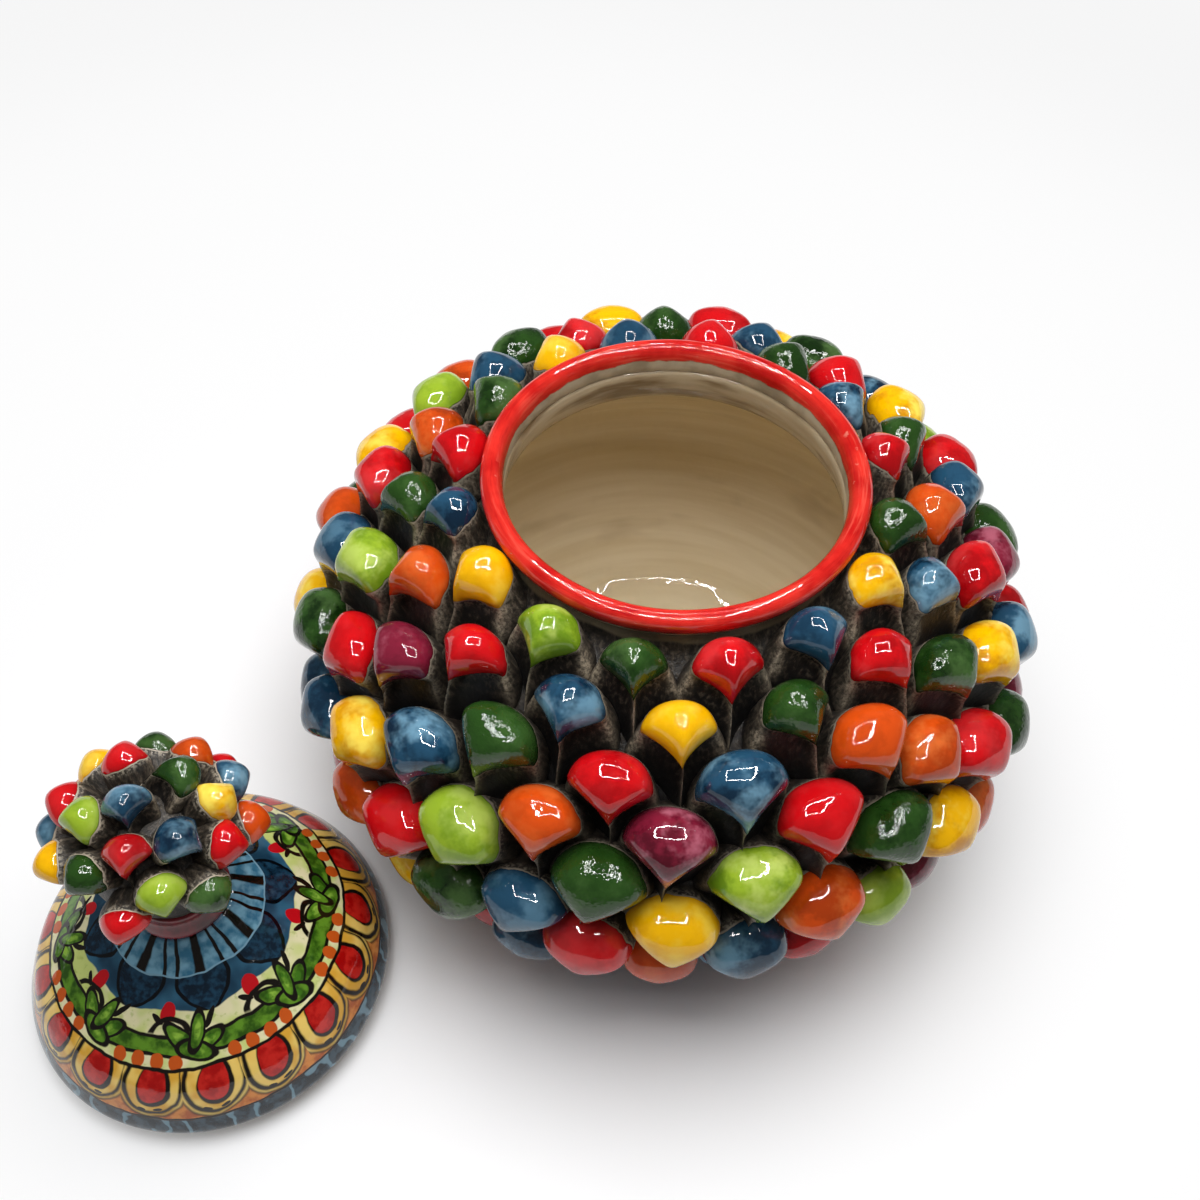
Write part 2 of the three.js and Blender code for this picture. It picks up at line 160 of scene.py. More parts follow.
class Wiring:
    """Adds shader nodes to one tree and joins them. A value may be a number, a colour or a socket."""

    def __init__(self, tree):
        self.tree = tree

    def node(self, kind, **settings):
        made = self.tree.nodes.new("ShaderNode" + kind)
        for name, value in settings.items():
            setattr(made, name, value)
        return made

    def feed(self, socket, value):
        if isinstance(value, bpy.types.NodeSocket):
            self.tree.links.new(value, socket)
        else:
            socket.default_value = value

    def math(self, operation, first, second=0.0, clamp=False):
        made = self.node("Math", operation=operation, use_clamp=clamp)
        self.feed(made.inputs[0], first)
        self.feed(made.inputs[1], second)
        return made.outputs[0]

    def add(self, first, second):
        return self.math("ADD", first, second)

    def less(self, first, second):
        return self.math("SUBTRACT", first, second)

    def times(self, first, second):
        return self.math("MULTIPLY", first, second)

    def size(self, value):
        """The value without its sign."""
        return self.math("ABSOLUTE", value)

    def away(self, x, y):
        """The distance from the middle of a flat plane."""
        return self.math("SQRT", self.add(self.times(x, x), self.times(y, y)))

    def rise(self, value, low, high):
        """0 below low, 1 above high and smooth between; falls instead when low is above high."""
        made = self.node("MapRange", interpolation_type="SMOOTHSTEP")
        self.feed(made.inputs["Value"], value)
        falling = not isinstance(low, bpy.types.NodeSocket) and low > high
        self.feed(made.inputs["From Min"], high if falling else low)
        self.feed(made.inputs["From Max"], low if falling else high)
        made.inputs["To Min"].default_value = 1.0 if falling else 0.0
        made.inputs["To Max"].default_value = 0.0 if falling else 1.0
        return made.outputs["Result"]

    def mix(self, factor, first, second):
        made = self.node("Mix", data_type="RGBA", clamp_factor=True)
        self.feed(made.inputs[0], factor)
        self.feed(made.inputs[6], first)
        self.feed(made.inputs[7], second)
        return made.outputs[2]

    def patches(self, value, low, high, first, second):
        """A paint that turns to another where a value rises from low to high."""
        return self.mix(self.rise(value, low, high), paint(first), paint(second))

    def blend(self, factor, first, second):
        """Mixes plain numbers, as mix does colours."""
        made = self.node("Mix", data_type="FLOAT", clamp_factor=True)
        self.feed(made.inputs[0], factor)
        self.feed(made.inputs[2], first)
        self.feed(made.inputs[3], second)
        return made.outputs[0]

    def noise(self, place, scale, detail, shift=0.0, roughness=0.5):
        """Cloudy noise from 0 to 1. Another shift gives another pattern."""
        made = self.node("TexNoise", noise_dimensions="4D")
        self.feed(made.inputs["Vector"], place)
        self.feed(made.inputs["W"], shift)
        self.feed(made.inputs["Scale"], scale)
        made.inputs["Detail"].default_value = detail
        made.inputs["Roughness"].default_value = roughness
        return made.outputs["Fac"]

    def stretch(self, place, scale):
        made = self.node("Mapping")
        self.feed(made.inputs["Vector"], place)
        made.inputs["Scale"].default_value = scale
        return made.outputs["Vector"]

    def join(self, x, y, z=0.0):
        made = self.node("CombineXYZ")
        for socket, value in zip(made.inputs, (x, y, z)):
            self.feed(socket, value)
        return made.outputs[0]

    def object_place(self):
        return self.node("TexCoord").outputs["Object"]

    def attribute(self, name, output="Fac"):
        return self.node("Attribute", attribute_name=name).outputs[output]

    def parts(self, place):
        made = self.node("SeparateXYZ")
        self.feed(made.inputs[0], place)
        return made.outputs[0], made.outputs[1], made.outputs[2]

    def use(self, group, **values):
        """Places a node group, with a value for each input that is named."""
        made = self.node("Group", node_tree=group)
        for name, value in values.items():
            self.feed(made.inputs[name.replace("_", " ").capitalize()], value)
        return made.outputs


def start_group(name, inputs, outputs):
    """A node group with these named inputs and outputs, and a Wiring for its inside."""
    tree = bpy.data.node_groups.new(name, "ShaderNodeTree")
    for label, kind, value in inputs:
        socket = tree.interface.new_socket(label, in_out="INPUT", socket_type="NodeSocket" + kind)
        if value is not None:
            socket.default_value = value
    for label, kind in outputs:
        tree.interface.new_socket(label, in_out="OUTPUT", socket_type="NodeSocket" + kind)
    entry = tree.nodes.new("NodeGroupInput")
    leave = tree.nodes.new("NodeGroupOutput")
    return tree, Wiring(tree), entry.outputs, leave.inputs


def paint(code):
    """A colour written as six hexadecimal digits, as the linear colour that a shader takes."""
    parts = []
    for shift in (16, 8, 0):
        part = (code >> shift & 255) / 255
        parts.append(part / 12.92 if part <= 0.04045 else ((part + 0.055) / 1.055) ** 2.4)
    return (*parts, 1.0)


# Effects that several finishes share

def make_clay_group():
    """Dark fired clay streaked along the thumb's stroke, dry-brushed pale with painted light where it stands
    proud, and with painted shade where it is hollow or deep.
    """
    tree, w, given, out = start_group(
        "brushed_clay",
        [
            ("Place", "Vector", None),
            ("Stroke", "Vector", None),
            ("Proud", "Float", 0.5),
            ("Depth", "Float", 0.0),
            ("Dusting", "Float", 0.5),
        ],
        [("Color", "Color"), ("Roughness", "Float"), ("Height", "Float")],
    )
    streaks = w.noise(w.stretch(given["Stroke"], (6, 6, 1.7)), 1.1, 4, roughness=0.65)
    speckle = w.noise(given["Place"], 900, 3, roughness=0.7)
    cloud = w.noise(given["Place"], 130, 3)
    shallow = w.rise(given["Depth"], 1.0, 0.0)
    ground = w.patches(streaks, 0.4, 0.66, 0x0A0705, 0x30261E)
    # Painted shade: the thumb hollows go nearly black, less so where the clay is dusted
    hollow = w.times(w.rise(given["Proud"], 0.4, 0.0), w.less(1.0, given["Dusting"]))
    ground = w.mix(w.times(hollow, 0.85), ground, paint(0x040302))
    # Painted shade: deep places among the scales darken nearly to black
    ground = w.mix(w.rise(given["Depth"], 0.1, 1.0), ground, paint(0x030202))
    # Pale dust on proud places and a speckled crest on the keels, partly real dust and partly painted light
    # where they catch it
    dust_and_light = w.times(w.rise(given["Proud"], 0.3, 1.0), given["Dusting"])
    dust_and_light = w.times(dust_and_light, w.add(0.25, w.rise(speckle, 0.4, 0.62)))
    dust_and_light = w.times(dust_and_light, w.add(0.35, w.rise(cloud, 0.32, 0.66)))
    dust_and_light = w.times(dust_and_light, w.add(0.6, w.times(w.rise(streaks, 0.4, 0.62), 0.6)))
    brushed = w.times(w.rise(streaks, 0.5, 0.7), w.times(given["Dusting"], 0.35))
    # Painted shade also fades the pale dust in deep places
    dust_and_light = w.times(w.add(dust_and_light, brushed), w.add(0.1, shallow))
    crest = w.times(w.math("POWER", given["Proud"], 8.0), w.add(0.45, w.times(given["Dusting"], 0.6)))
    dust_and_light = w.math("ADD", dust_and_light, w.times(crest, w.rise(speckle, 0.3, 0.55)), clamp=True)
    w.feed(out["Color"], w.mix(dust_and_light, ground, paint(0xAC9E88)))
    w.feed(out["Roughness"], w.add(0.36, w.times(speckle, 0.3)))
    w.feed(out["Height"], w.add(w.times(streaks, 0.7), w.times(speckle, 0.3)))
    return tree


def make_glaze_group():
    """A brushed-on coloured glaze that pools dark in places and runs thin and light in others."""
    tree, w, given, out = start_group(
        "pooled_glaze",
        [
            ("Place", "Vector", None),
            ("Hand", "Float", 0.0),
            ("Deep", "Color", (0, 0, 0, 1)),
            ("Main", "Color", (0.5, 0.5, 0.5, 1)),
            ("Thin", "Color", (1, 1, 1, 1)),
            ("Patch scale", "Float", 90.0),
            ("Pooling", "Float", 0.5),
            ("Thinning", "Float", 0.5),
        ],
        [("Color", "Color"), ("Height", "Float")],
    )
    shift = w.times(given["Hand"], 31.0)
    uneven = w.add(0.45, w.math("FRACT", w.times(given["Hand"], 13.0)))
    pools = w.noise(given["Place"], given["Patch scale"], 4, shift, 0.62)
    thins = w.noise(given["Place"], w.times(given["Patch scale"], 0.8), 4, w.add(shift, 7.3), 0.6)
    pooled = w.times(w.times(w.rise(pools, 0.56, 0.4), given["Pooling"]), uneven)
    deepened = w.mix(pooled, given["Main"], given["Deep"])
    thinned = w.times(w.times(w.rise(thins, 0.47, 0.64), given["Thinning"]), uneven)
    w.feed(out["Color"], w.mix(thinned, deepened, given["Thin"]))
    w.feed(out["Height"], w.times(thins, 0.5))
    return tree


def make_edge_group():
    """Where a scale's cap is glazed: down to the lip over the thumb hollows, and less far behind.

    Glazed is 1 on the glaze, Line is 1 on the pale slip that shows just past its edge, and Gather is
    1 near the glaze's edge, where the glaze's colour is made darker.
    """
    tree, w, given, out = start_group(
        "glaze_edge",
        [
            ("Place", "Vector", None),
            ("On scale", "Vector", None),
            ("Margin", "Float", 0.0),
            ("Slant", "Float", 0.0),
        ],
        [("Glazed", "Float"), ("Line", "Float"), ("Darker at edge", "Float")],
    )
    across, up, along = w.parts(given["On scale"])
    ragged = w.times(w.less(w.noise(given["Place"], 170, 3), 0.5), 0.34)
    behind = w.rise(up, 0.1, 0.9)
    lowest = w.add(-0.42, w.times(behind, w.add(0.12, given["Margin"])))
    lowest = w.add(lowest, w.times(w.rise(w.size(across), 0.6, 1.0), 0.16))
    lowest = w.add(lowest, w.times(across, given["Slant"]))
    depth = w.less(w.add(along, ragged), lowest)
    w.feed(out["Glazed"], w.rise(depth, 0.0, 0.035))
    speckle = w.rise(w.noise(given["Place"], 1000, 2, 3.0), 0.46, 0.6)
    band = w.times(w.rise(depth, -0.42, -0.06), w.times(speckle, 0.6))
    line = w.math("MAXIMUM", w.times(w.rise(depth, -0.09, -0.02), 0.9), band)
    w.feed(out["Line"], w.times(line, w.rise(depth, 0.06, 0.0)))
    w.feed(out["Darker at edge"], w.rise(depth, 0.34, 0.04))
    return tree


CLAY = make_clay_group()
GLAZE = make_glaze_group()
GLAZE_EDGE = make_edge_group()

# Each glaze: its slot, its colour where it pools, its own colour, its colour where it runs thin, its
# patches per metre, how much it pools and thins, its roughness, and how pitted it is
Glaze = namedtuple("Glaze", "slot deep main thin patches pooling thinning roughness pitting")
GLAZES = {
    "R": Glaze("red_glaze", 0x90040A, 0xCA0D14, 0xDC4042, 70, 0.6, 0.35, 0.035, 0.05),
    "O": Glaze("orange_glaze", 0x963206, 0xCE4A10, 0xDE7E3C, 95, 0.65, 0.5, 0.04, 0.08),
    "Y": Glaze("yellow_glaze", 0xC47C02, 0xF2B602, 0xF8DC58, 75, 0.65, 0.9, 0.035, 0.04),
    "L": Glaze("lime_glaze", 0x5C8014, 0x92AE2C, 0xBED06A, 85, 0.65, 0.6, 0.04, 0.06),
    "G": Glaze("green_glaze", 0x0E2607, 0x244416, 0x54763E, 80, 0.75, 0.45, 0.045, 0.45),
    "B": Glaze("blue_glaze", 0x0A2236, 0x214862, 0x76A2BA, 85, 0.85, 0.65, 0.035, 0.06),
    "M": Glaze("red_glaze", 0x4A0A1A, 0x7A1C32, 0xB26274, 110, 0.7, 0.7, 0.04, 0.08),
}


# Heights in metres that finishes read: the jar's shoulder, and where its neck starts
SHOULDER_Z = 0.1
NECK_Z = 0.135


def start_material(name):
    """A material, a Wiring for its tree, and its Principled shader."""
    material = bpy.data.materials.new(name)
    material.use_nodes = True
    shader = material.node_tree.nodes["Principled BSDF"]
    return material, Wiring(material.node_tree), shader


def finish_surface(w, shader, colour, roughness, height, distance):
    """Colours a surface, and bumps it by a height from about 0 to 1, times a distance in metres."""
    w.feed(shader.inputs["Base Color"], colour)
    w.feed(shader.inputs["Roughness"], roughness)
    bump = w.node("Bump")
    bump.inputs["Strength"].default_value = 1.0
    bump.inputs["Distance"].default_value = distance
    w.feed(bump.inputs["Height"], height)
    w.feed(shader.inputs["Normal"], bump.outputs["Normal"])


def make_scale_finish(name, glaze, margin, dusting, line):
    """Dark clay that ends in a glazed cap.

    `margin` says how far up the glaze stops behind the cap, in half heights, and `line` how pale the
    slip past its edge is. The pale dust, which is partly painted light, has a value for below the jar's
    shoulder and one for its top.
    """
    material, w, shader = start_material(name)
    place = w.object_place()
    on_scale = w.attribute("on_scale", "Vector")
    hand = w.attribute("hand")
    slant = w.times(w.less(w.math("FRACT", w.times(hand, 7.0)), 0.5), 0.5)
    margin = w.add(margin - 0.12, w.times(hand, 0.3))
    edge = w.use(GLAZE_EDGE, place=place, on_scale=on_scale, margin=margin, slant=slant)
    height = w.parts(place)[2]
    dusting = w.blend(w.rise(height, SHOULDER_Z, 0.145), *dusting)
    # Painted shade: the stem darkens towards its root, deep among the scales
    depth = w.rise(w.parts(on_scale)[2], -0.7, -2.0)
    clay = w.use(CLAY, place=place, stroke=on_scale, proud=w.attribute("proud"), depth=depth, dusting=dusting)
    coat = w.use(
        GLAZE,
        place=place,
        hand=hand,
        deep=paint(glaze.deep),
        main=paint(glaze.main),
        thin=paint(glaze.thin),
        patch_scale=glaze.patches,
        pooling=glaze.pooling,
        thinning=glaze.thinning,
    )
    bare = w.mix(w.times(edge["Line"], line), clay["Color"], paint(0xC9BCA6))
    darkened_at_edge = w.mix(w.times(edge["Darker at edge"], 0.5), coat["Color"], paint(glaze.deep))
    pits = w.times(w.noise(place, 750, 2), glaze.pitting)
    swell = w.times(w.noise(place, 160, 2), 0.5)
    glazed_height = w.add(w.add(pits, swell), 0.6)
    colour = w.mix(edge["Glazed"], bare, darkened_at_edge)
    roughness = w.blend(edge["Glazed"], clay["Roughness"], glaze.roughness)
    raised = w.blend(edge["Glazed"], clay["Height"], glazed_height)
    finish_surface(w, shader, colour, roughness, raised, 0.0005)
    return material


# Shapes

def smooth_line(points, steps):
    """Points spread evenly in number along a smooth curve through the given ones."""
    line = [Vector(point) for point in points]
    ends = [line[0] * 2 - line[1], *line, line[-1] * 2 - line[-2]]
    made = []
    for before, start, end, after in zip(ends, ends[1:], ends[2:], ends[3:]):
        for step in range(steps):
            t = step / steps
            made.append(
                0.5 * (
                    2 * start
                    + (end - before) * t
                    + (2 * before - 5 * start + 4 * end - after) * t * t
                    + (3 * start - before - 3 * end + after) * t ** 3
                )
            )
    made.append(line[-1])
    return made


WALL_LINE = smooth_line(WALL_THROUGH, 4)


def wall_radius_at(height):
    """The radius of the jar's outside wall at a height."""
    if height >= NECK_TOP:
        return NECK_RADIUS
    for low, high in zip(WALL_LINE, WALL_LINE[1:]):
        if low.y <= height < high.y:
            return low.x + (high.x - low.x) * (height - low.y) / (high.y - low.y)
    return WALL_LINE[0].x


def offset_line(line, distance):
    """A line moved sideways, to the right of its direction of travel."""
    moved = []
    for i, point in enumerate(line):
        along = (line[min(i + 1, len(line) - 1)] - line[max(i - 1, 0)]).normalized()
        moved.append(point + Vector((along.y, -along.x)) * distance)
    return moved


def link_mesh(name, bm, materials):
    """Makes an object with these materials from a bmesh, and adds it to the scene."""
    mesh = bpy.data.meshes.new(name)
    bm.to_mesh(mesh)
    bm.free()
    for material in materials:
        mesh.materials.append(material)
    made = bpy.data.objects.new(name, mesh)
    bpy.context.scene.collection.objects.link(made)
    return made


def make_piece(name, bm, materials, body, nodes, levels):
    """Turns a bmesh in millimetres into a finished piece, smoothed, that stands for CAD nodes."""
    bmesh.ops.scale(bm, vec=(MM, MM, MM), verts=bm.verts)
    piece = link_mesh(name, bm, materials)
    for face in piece.data.polygons:
        face.use_smooth = True
    smoothing = piece.modifiers.new("smooth", "SUBSURF")
    smoothing.levels = levels
    smoothing.render_levels = levels
    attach(piece, body)
    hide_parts(*nodes)


# How near to its axis a turned outline ends, and how near points are merged, in millimetres. Then
# how quickly a thrown shape's unevenness changes, and the steps round the jar's and the lid's shapes.
POLE = 0.001
THROWN_WAVES = 0.045
TURNED_STEPS = 72


def turn_shape(outline, steps, centre=Vector((0, 0, 0)), wobble=0.0, seed=0.0):
    """Spins a closed outline of (radius, height) points round an upright axis, uneven by hand."""
    bm = bmesh.new()
    verts = [bm.verts.new((point[0], 0, point[1])) for point in outline]
    edges = [bm.edges.new(pair) for pair in zip(verts, [*verts[1:], verts[0]])]
    bmesh.ops.spin(
        bm, geom=[*verts, *edges], cent=(0, 0, 0), axis=(0, 0, 1), angle=TURN, steps=steps, use_merge=True
    )
    bmesh.ops.remove_doubles(bm, verts=bm.verts, dist=POLE)
    bmesh.ops.recalc_face_normals(bm, faces=bm.faces)
    for vert in bm.verts:
        shift = noise.noise_vector(vert.co * THROWN_WAVES + Vector((seed, seed, seed))) * wobble
        level = Vector((vert.co.x, vert.co.y, 0))
        if level.length > 1:
            vert.co += level.normalized() * shift.x
    bmesh.ops.translate(bm, verts=bm.verts, vec=centre)
    return bm


# One pinched scale

# A scale has a ring of points across it, counted from its keel, which is the ridge below. Between
# the keel and the ear on either side is a hollow that a thumb pressed, and above the ears its back.
SIDES = 12
KEEL = 0
EARS = (3, 9)

# A ring of the scale from its root to its tip. Stem rings say how far along the stem they are, and
# cap rings how far in front of the cap's centre, in half heights of the cap. Then the shares of
# the cap's half width and half height that the ring's width, back and keel have, how deep the
# thumb hollows are, and how high its ears sit.
Ring = namedtuple("Ring", "stem ahead width back keel hollow ear")
SCALE_RINGS = [
    Ring(0.0, None, 1.42, 1.2, 2.2, 0.3, -0.6),
    Ring(0.4, None, 1.36, 1.12, 1.85, 0.75, -0.42),
    Ring(0.75, None, 1.15, 1.04, 1.4, 1.0, -0.2),
    Ring(1.0, None, 1.0, 1.0, 1.06, 1.0, 0.0),
    Ring(None, -0.2, 1.0, 1.0, 1.0, 0.2, 0.0),
    Ring(None, 0.3, 0.81, 0.93, 0.88, -0.1, 0.05),
    Ring(None, 0.72, 0.4, 0.63, 0.58, -0.3, 0.08),
]
# The knob's stems don't widen towards their roots, and have deeper hollows
KNOB_RINGS = [
    Ring(0.0, None, 0.98, 0.9, 1.6, 1.1, -0.3),
    Ring(0.4, None, 0.98, 0.92, 1.5, 1.3, -0.25),
    Ring(0.75, None, 1.0, 0.96, 1.25, 1.3, -0.1),
    *SCALE_RINGS[3:],
]
LIP_RING = 4

# Where the stem ends and where the tip is, in front of the cap's centre and in half heights of the
# cap, and how many times further back the stem ends along the keel
STEM_END = -0.48
TIP_AHEAD = 0.93
KEEL_BACK = 1.35

# The deepest that a hollow is bowed, in shares of its width, how much of the keel's bend the cap
# keeps, and how full the back's arch is: less than 1 makes it squarer
HOLLOW_BOW = 0.3
CAP_BEND = 0.4
BACK_ARCH = 0.85

# How rough a scale is, in half widths of its cap, and how quickly that changes from place to place
PINCHED_ROUGH = 0.045
PINCHED_WAVES = 0.16

# How sharp smoothing leaves the keel on the stem and on the cap, the ears, and the cap's lip
STEM_CREASE = 0.55
CAP_CREASE = 0.3
EAR_CREASE = 0.25
LIP_CREASE = 0.4

# How one scale differs from the next: sideways bend of the keel, depth of the left and right
# hollow, height of the left and right ear, swelling of the back, and a number for its glaze
Hand = namedtuple("Hand", "keel_bend left_hollow right_hollow left_ear right_ear swell value")
Cap = namedtuple("Cap", "half_width half_height")


def draw_hand(chance):
    return Hand(
        keel_bend=chance.uniform(-0.22, 0.22),
        left_hollow=chance.uniform(0.75, 1.3),
        right_hollow=chance.uniform(0.75, 1.3),
        left_ear=chance.uniform(-0.14, 0.14),
        right_ear=chance.uniform(-0.14, 0.14),
        swell=chance.uniform(0.93, 1.06),
        value=chance.random(),
    )


# Smoothing draws a cage of points in, so the cage is this much bigger than the scale
CAGE_WIDER = 1.13
CAGE_HIGHER = 1.12


def ring_point(side, ring, hand):
    """A point of a ring across the scale, in shares of the cap's half width and half height."""
    keel = Vector((hand.keel_bend * (CAP_BEND if ring.stem is None else 1), -ring.keel))
    if side == KEEL:
        return keel
    on_right = side < SIDES / 2
    mirror = 1 if on_right else -1
    ear_height = ring.ear + (hand.right_ear if on_right else hand.left_ear)
    ear = Vector((ring.width * mirror, ear_height))
    from_keel = side if on_right else SIDES - side
    if from_keel < EARS[0]:
        share = from_keel / EARS[0]
        span = ear - keel
        inward = Vector((-span.y, span.x)).normalized() * mirror
        depth = hand.right_hollow if on_right else hand.left_hollow
        bow = ring.hollow * depth * HOLLOW_BOW * span.length * 4 * share * (1 - share)
        return keel + span * share + inward * bow
    angle = TURN / SIDES * (from_keel - EARS[0])
    top = ring.back * hand.swell - ear_height
    return Vector((ring.width * math.cos(angle) * mirror, ear_height + top * math.sin(angle) ** BACK_ARCH))


def ring_distance(side, ring, y, cap, stem, root_slope):
    """How far in front of the cap's centre a ring's point is."""
    if ring.stem is None:
        return ring.ahead * cap.half_height
    start = -stem - y * root_slope
    end = STEM_END * cap.half_height
    if side == KEEL:
        end *= KEEL_BACK
    return start + (end - start) * ring.stem


def proud_at(side):
    """How far a side of the stem stands proud: its keel and ears most, its hollows not at all."""
    if side == KEEL:
        return 1.0
    if side in EARS:
        return 0.9
    from_keel = min(side, SIDES - side)
    return 0.0 if from_keel < EARS[0] else 0.5


def over_hollow(first, second):
    """Whether a ring's edge between two sides lies over a thumb hollow."""
    return max(min(first, SIDES - first), min(second, SIDES - second)) <= EARS[0]


def crease_between(first, second, on_stem, on_lip):
    """How sharp smoothing leaves the edge between points on two sides."""
    if first == KEEL and second == KEEL:
        return STEM_CREASE if on_stem else CAP_CREASE
    if first in EARS and second in EARS:
        return EAR_CREASE
    return LIP_CREASE if on_lip and over_hollow(first, second) else 0.0


def pinch_scale(bm, rings, cap, stem, root_slope, place, hand, material):
    """Pulls one scale out of a ring of points, from its root to its tip, and puts it in place."""
    side_of = bm.verts.layers.int["side"]
    ring_of = bm.verts.layers.int["ring"]
    on_scale = bm.verts.layers.float_vector["on_scale"]
    proud = bm.verts.layers.float["proud"]
    hand_value = bm.verts.layers.float["hand"]
    crease = bm.edges.layers.float["crease_edge"]
    ring_verts = bmesh.ops.create_circle(bm, segments=SIDES, radius=1)["verts"]
    for side, vert in enumerate(ring_verts):
        vert[side_of] = side
        vert[ring_of] = 0
    edges = list(dict.fromkeys(edge for vert in ring_verts for edge in vert.link_edges))
    faces = list(bmesh.ops.holes_fill(bm, edges=edges, sides=SIDES)["faces"])
    every = list(ring_verts)
    for index, ring in enumerate(rings):
        if index:
            pulled = bmesh.ops.extrude_edge_only(bm, edges=edges)["geom"]
            ring_verts = [item for item in pulled if isinstance(item, bmesh.types.BMVert)]
            faces += [item for item in pulled if isinstance(item, bmesh.types.BMFace)]
            ring_set = set(ring_verts)
            edges = [
                item for item in pulled
                if isinstance(item, bmesh.types.BMEdge) and all(vert in ring_set for vert in item.verts)
            ]
            every += ring_verts
        for vert in ring_verts:
            side = vert[side_of]
            across, up = ring_point(side, ring, hand)
            y = up * cap.half_height * CAGE_HIGHER
            z = ring_distance(side, ring, y, cap, stem, root_slope)
            vert.co = (across * cap.half_width * CAGE_WIDER, y, z)
            vert[proud] = proud_at(side)
            vert[ring_of] = index
    front = bmesh.ops.holes_fill(bm, edges=edges, sides=SIDES)["faces"]
    poked = bmesh.ops.poke(bm, faces=front)
    tip = poked["verts"][0]
    tip.co.z = TIP_AHEAD * cap.half_height
    tip[proud] = 0.5
    every.append(tip)
    faces += poked["faces"]
    for vert in every:
        rough = noise.noise_vector(vert.co * PINCHED_WAVES + Vector((0, 0, hand.value * 90)))
        vert.co += rough * PINCHED_ROUGH * cap.half_width
        x, y, z = vert.co
        vert[on_scale] = (x / cap.half_width, y / cap.half_height, z / cap.half_height)
        vert[hand_value] = hand.value
        for edge in vert.link_edges:
            other = edge.other_vert(vert)
            if vert is tip or other is tip:
                continue
            on_stem = z < -0.1 * cap.half_height
            on_lip = vert[ring_of] == LIP_RING and other[ring_of] == LIP_RING
            edge[crease] = crease_between(vert[side_of], other[side_of], on_stem, on_lip)
    bmesh.ops.recalc_face_normals(bm, faces=[face for face in faces if face.is_valid])
    for face in faces:
        if face.is_valid:
            face.material_index = material
    bmesh.ops.transform(bm, matrix=place, verts=every)


def start_scales():
    """An empty bmesh with the values that a scale's finish reads at each point."""
    bm = bmesh.new()
    bm.verts.layers.int.new("side")
    bm.verts.layers.int.new("ring")
    bm.verts.layers.float_vector.new("on_scale")
    bm.verts.layers.float.new("proud")
    bm.verts.layers.float.new("hand")
    bm.edges.layers.float.new("crease_edge")
    return bm


def scale_place(around, above, centre_radius, height, twist):
    """Where a scale stands: its cap's centre, with its axis `above` level and its back upwards.

    `around` is clockwise from the front, and all three angles are in radians.
    """
    level = Vector((-math.sin(around), -math.cos(around), 0))
    out = level * math.cos(above) + Vector((0, 0, math.sin(above)))
    up = level * -math.sin(above) + Vector((0, 0, math.cos(above)))
    up = Matrix.Rotation(twist, 3, out) @ up
    across = up.cross(out)
    place = Matrix((across, up, out)).transposed().to_4x4()
    centre = level * centre_radius + Vector((0, 0, height))
    return Matrix.Translation(centre) @ place


def find_root(row):
    """How far back from its caps' centres a row meets the wall, and how the wall leans there."""
    tilt = math.radians(row.tilt)
    out = Vector((math.cos(tilt), math.sin(tilt)))
    up = Vector((-math.sin(tilt), math.cos(tilt)))
    back = 0.0
    step = 0.1
    while row.radius - back * out.x > wall_radius_at(row.height - back * out.y):
        back += step
    height = row.height - back * out.y
    rise = Vector((wall_radius_at(height + 1) - wall_radius_at(height - 1), 2)).normalized()
    normal = Vector((rise.y, -rise.x))
    return back, normal.dot(up) / normal.dot(out)


# The jar

def flare_rings(share):
    """The rings of a scale whose stem widens towards its root by a share of the full widening."""
    return [ring._replace(width=1 + (ring.width - 1) * share) for ring in SCALE_RINGS]


def make_scale_rows():
    """One piece for each row of scales, each scale with its own glaze and its own hand."""
    kinds = list(GLAZES)
    # The pale dust, partly painted light, is slight below the shoulder and heavy at the top
    finishes = [
        make_scale_finish(f"scale_{glaze.slot}_{kind}", glaze, margin=0.2, dusting=(0.12, 0.75), line=0.5)
        for kind, glaze in GLAZES.items()
    ]
    for index, row in enumerate(ROWS):
        chance = random.Random(ROW_SEED + index)
        bm = start_scales()
        rings = flare_rings(1.0 if index < NECK_ROWS else BELLY_FLARE)
        stem, slope = find_root(row)
        first = FIRST_ANGLE + (index % 2) * STEP_ANGLE / 2
        for k, kind in enumerate(row.glazes):
            aside = chance.uniform(-STRAY_AROUND, STRAY_AROUND)
            around = first + k * STEP_ANGLE + math.radians(aside)
            above = math.radians(row.tilt + chance.uniform(-STRAY_TILT, STRAY_TILT))
            size = chance.uniform(*SIZE_RANGE)
            cap = Cap(row.half_width * size, row.half_height * size)
            height = row.height + chance.uniform(-STRAY_LIFT, STRAY_LIFT)
            twist = math.radians(chance.uniform(-STRAY_TWIST, STRAY_TWIST))
            place = scale_place(around, above, row.radius - ROWS_DRAWN_IN, height, twist)
            pinch_scale(bm, rings, cap, stem + ROOT_DEPTH, slope, place, draw_hand(chance), kinds.index(kind))
        number = index + 1
        make_piece(f"pinched_row_{number}", bm, finishes, "jar", [f"scale_row_{number}"], 2)


